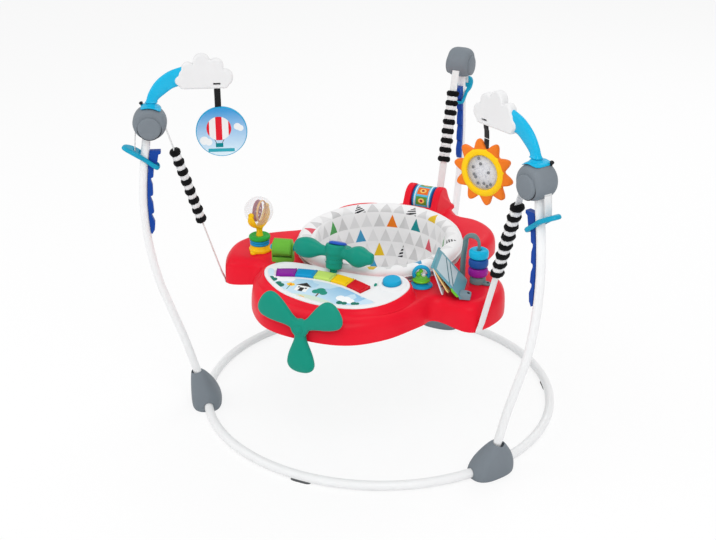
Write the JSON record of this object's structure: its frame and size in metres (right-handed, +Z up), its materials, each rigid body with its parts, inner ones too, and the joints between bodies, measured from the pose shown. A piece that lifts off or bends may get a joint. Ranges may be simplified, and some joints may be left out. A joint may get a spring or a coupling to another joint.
{
  "type": "baby activity jumper",
  "caption": "Free-standing baby jumper: a steel floor ring and bowed posts carry a sprung toy tray with a swivelling padded seat, keys, rollers and hanging toys.",
  "frame": {"origin": "on the floor under the middle of the bounding box; the floor ring's centre is at Y = -0.0804 m", "axes": "+Z up; -Y is the front, where the tray's nose and propeller point; +X is the child's left-hand side when facing front"},
  "size_m": [1.0462, 1.0414, 0.8877],
  "materials": {
    "arch_grey": "gloss",
    "arm_cyan": "gloss",
    "black_webbing": "woven",
    "button_blue": "gloss",
    "clear": "clear",
    "cloud_white": "satin",
    "collar_cyan": "gloss",
    "cover_teal": "satin",
    "grey_plastic": "satin",
    "key_blue": "gloss",
    "key_lime": "gloss",
    "key_purple": "gloss",
    "key_red": "gloss",
    "key_yellow": "gloss",
    "lime": "gloss",
    "navy": "satin",
    "page_orange": "satin",
    "page_white": "satin",
    "panel_white": "gloss",
    "red": "gloss",
    "seat_cloth": "woven",
    "seat_ring": "satin",
    "sky_disc": "gloss",
    "sleeve": "woven",
    "spring_steel": "satin",
    "stack_cyan": "gloss",
    "stack_navy": "gloss",
    "stack_purple": "gloss",
    "sun_orange": "gloss",
    "teal": "gloss",
    "toy_cyan": "gloss",
    "webbing": "woven",
    "white_steel": "gloss powder coat",
    "yellow": "gloss"
  },
  "bodies": {
    "stand": {"base_ring": "white_steel", "foot_rear": "grey_plastic", "foot_left": "grey_plastic", "foot_right": "grey_plastic", "post_rear": "white_steel", "post_left": "white_steel", "post_right": "white_steel", "hub_rear": "grey_plastic", "hub_left": "grey_plastic", "hub_right": "grey_plastic", "rack_rear": "navy", "rack_left": "navy", "rack_right": "navy", "toy_arm_left": "arm_cyan", "toy_arm_right": "arm_cyan", "cloud_left": "cloud_white", "cloud_right": "cloud_white", "disc_strap": "black_webbing", "sun_strap": "black_webbing", "strap_rear": "webbing", "strap_left": "webbing", "strap_right": "webbing", "sleeve_rear": "sleeve", "sleeve_left": "sleeve", "sleeve_right": "sleeve"},
    "suspension": {"spring_rear": "spring_steel", "spring_left": "spring_steel", "spring_right": "spring_steel"},
    "tray": {"tray_shell": "red", "music_panel": "panel_white", "ball_stand": "yellow", "lime_stand": "lime", "bead_toy": "toy_cyan", "stack_arch": "arch_grey", "book_cover": "cover_teal"},
    "seat": {"seat_ring": "seat_ring", "seat_pad": "seat_cloth"},
    "collar_rear": {"collar_rear": "collar_cyan"},
    "collar_left": {"collar_left": "collar_cyan"},
    "collar_right": {"collar_right": "collar_cyan"},
    "propeller": {"propeller": "teal"},
    "steering_wheel": {"steering_wheel": "teal"},
    "button": {"button": "button_blue"},
    "switch": {"slide_switch": "teal"},
    "ball": {"spinning_ball": "clear"},
    "lime_roller": {"lime_roller": "lime"},
    "tail_roller": {"tail_roller": "toy_cyan"},
    "page_front": {"page_front": "page_white"},
    "page_middle": {"page_middle": "page_orange"},
    "disc_pendant": {"hanging_disc": "sky_disc"},
    "sun_pendant": {"hanging_sun": "sun_orange", "sun_window": "clear"},
    "key_1": {"key_1": "key_purple"},
    "key_2": {"key_2": "key_blue"},
    "key_3": {"key_3": "key_lime"},
    "key_4": {"key_4": "key_yellow"},
    "key_5": {"key_5": "key_red"},
    "stack_disc_1": {"stack_disc_1": "stack_purple"},
    "stack_disc_2": {"stack_disc_2": "stack_navy"},
    "stack_disc_3": {"stack_disc_3": "stack_cyan"}
  },
  "joints": [
    {"name": "seat_height", "type": "slide", "parent": "stand", "child": "suspension", "axis": [0, 0, 1], "range_m": [0, 0.112], "deforming": ["strap_rear", "strap_left", "strap_right", "sleeve_rear", "sleeve_left", "sleeve_right"]},
    {"name": "bounce", "type": "slide", "parent": "suspension", "child": "tray", "axis": [0, 0, 1], "range_m": [-0.1, 0.02], "stiffness_N_per_m": 1200, "springref_m": 0.044, "deforming": ["spring_rear", "spring_left", "spring_right", "strap_rear", "strap_left", "strap_right", "sleeve_rear", "sleeve_left", "sleeve_right"]},
    {"name": "collar_rear_slide", "type": "slide", "parent": "stand", "child": "collar_rear", "axis": [0, 0.0842, -0.9964], "range_m": [0, 0.105]},
    {"name": "collar_left_slide", "type": "slide", "parent": "stand", "child": "collar_left", "axis": [-0.0729, -0.0421, -0.9964], "range_m": [0, 0.105]},
    {"name": "collar_right_slide", "type": "slide", "parent": "stand", "child": "collar_right", "axis": [0.0729, -0.0421, -0.9964], "range_m": [0, 0.105]},
    {"name": "seat_turn", "type": "hinge", "parent": "tray", "child": "seat", "pos_m": [0, -0.08036, 0.4], "axis": [0, 0, 1], "continuous": true},
    {"name": "propeller_spin", "type": "hinge", "parent": "tray", "child": "propeller", "pos_m": [0, -0.49886, 0.381], "axis": [0, -1, 0], "continuous": true},
    {"name": "wheel_turn", "type": "hinge", "parent": "tray", "child": "steering_wheel", "pos_m": [-0.0175, -0.29886, 0.42601], "axis": [0, 0.2079, 0.9781], "range_deg": [-90, 90]},
    {"name": "key_1_press", "type": "slide", "parent": "tray", "child": "key_1", "axis": [0, 0.1093, -0.994], "range_m": [0, 0.0025], "stiffness_N_per_m": 500, "springref_m": -0.001},
    {"name": "key_2_press", "type": "slide", "parent": "tray", "child": "key_2", "axis": [0, 0.1093, -0.994], "range_m": [0, 0.0025], "stiffness_N_per_m": 500, "springref_m": -0.001},
    {"name": "key_3_press", "type": "slide", "parent": "tray", "child": "key_3", "axis": [0, 0.1093, -0.994], "range_m": [0, 0.0025], "stiffness_N_per_m": 500, "springref_m": -0.001},
    {"name": "key_4_press", "type": "slide", "parent": "tray", "child": "key_4", "axis": [0, 0.1093, -0.994], "range_m": [0, 0.0025], "stiffness_N_per_m": 500, "springref_m": -0.001},
    {"name": "key_5_press", "type": "slide", "parent": "tray", "child": "key_5", "axis": [0, 0.1093, -0.994], "range_m": [0, 0.0025], "stiffness_N_per_m": 500, "springref_m": -0.001},
    {"name": "button_press", "type": "slide", "parent": "tray", "child": "button", "axis": [0, 0.1093, -0.994], "range_m": [0, 0.0035], "stiffness_N_per_m": 500, "springref_m": -0.0012},
    {"name": "switch_slide", "type": "slide", "parent": "tray", "child": "switch", "axis": [0, 0.994, 0.1093], "range_m": [0, 0.006]},
    {"name": "ball_spin", "type": "hinge", "parent": "tray", "child": "ball", "pos_m": [-0.257, -0.20836, 0.5018], "axis": [0, 1, 0], "continuous": true},
    {"name": "lime_spin", "type": "hinge", "parent": "tray", "child": "lime_roller", "pos_m": [-0.163, -0.26636, 0.4473], "axis": [0.9659, 0.2588, 0], "continuous": true},
    {"name": "tail_spin", "type": "hinge", "parent": "tray", "child": "tail_roller", "pos_m": [0, 0.21664, 0.424], "axis": [1, 0, 0], "continuous": true},
    {"name": "stack_disc_1_spin", "type": "hinge", "parent": "tray", "child": "stack_disc_1", "pos_m": [0.279, -0.16136, 0.42835], "axis": [0, 0, 1], "continuous": true},
    {"name": "stack_disc_2_spin", "type": "hinge", "parent": "tray", "child": "stack_disc_2", "pos_m": [0.279, -0.16136, 0.45015], "axis": [0, 0, 1], "continuous": true},
    {"name": "stack_disc_3_spin", "type": "hinge", "parent": "tray", "child": "stack_disc_3", "pos_m": [0.279, -0.16136, 0.47195], "axis": [0, 0, 1], "continuous": true},
    {"name": "page_front_turn", "type": "hinge", "parent": "tray", "child": "page_front", "pos_m": [0.203, -0.23236, 0.475], "axis": [-0.225, 0.9744, 0], "range_deg": [-4.5, 24]},
    {"name": "page_middle_turn", "type": "hinge", "parent": "tray", "child": "page_middle", "pos_m": [0.203, -0.23236, 0.475], "axis": [-0.225, 0.9744, 0], "range_deg": [-4, 4.5]},
    {"name": "disc_swing", "type": "hinge", "parent": "stand", "child": "disc_pendant", "pos_m": [-0.32043, -0.26536, 0.7653], "axis": [-0.866, -0.5, 0], "range_deg": [-25, 25]},
    {"name": "sun_swing", "type": "hinge", "parent": "stand", "child": "sun_pendant", "pos_m": [0.32043, -0.26536, 0.7788], "axis": [0.866, -0.5, 0], "range_deg": [-25, 25]}
  ],
  "couplings": [
    {"joint": "collar_rear_slide", "follows": "seat_height", "ratio": 0.9375},
    {"joint": "collar_left_slide", "follows": "seat_height", "ratio": 0.9375},
    {"joint": "collar_right_slide", "follows": "seat_height", "ratio": 0.9375}
  ]
}
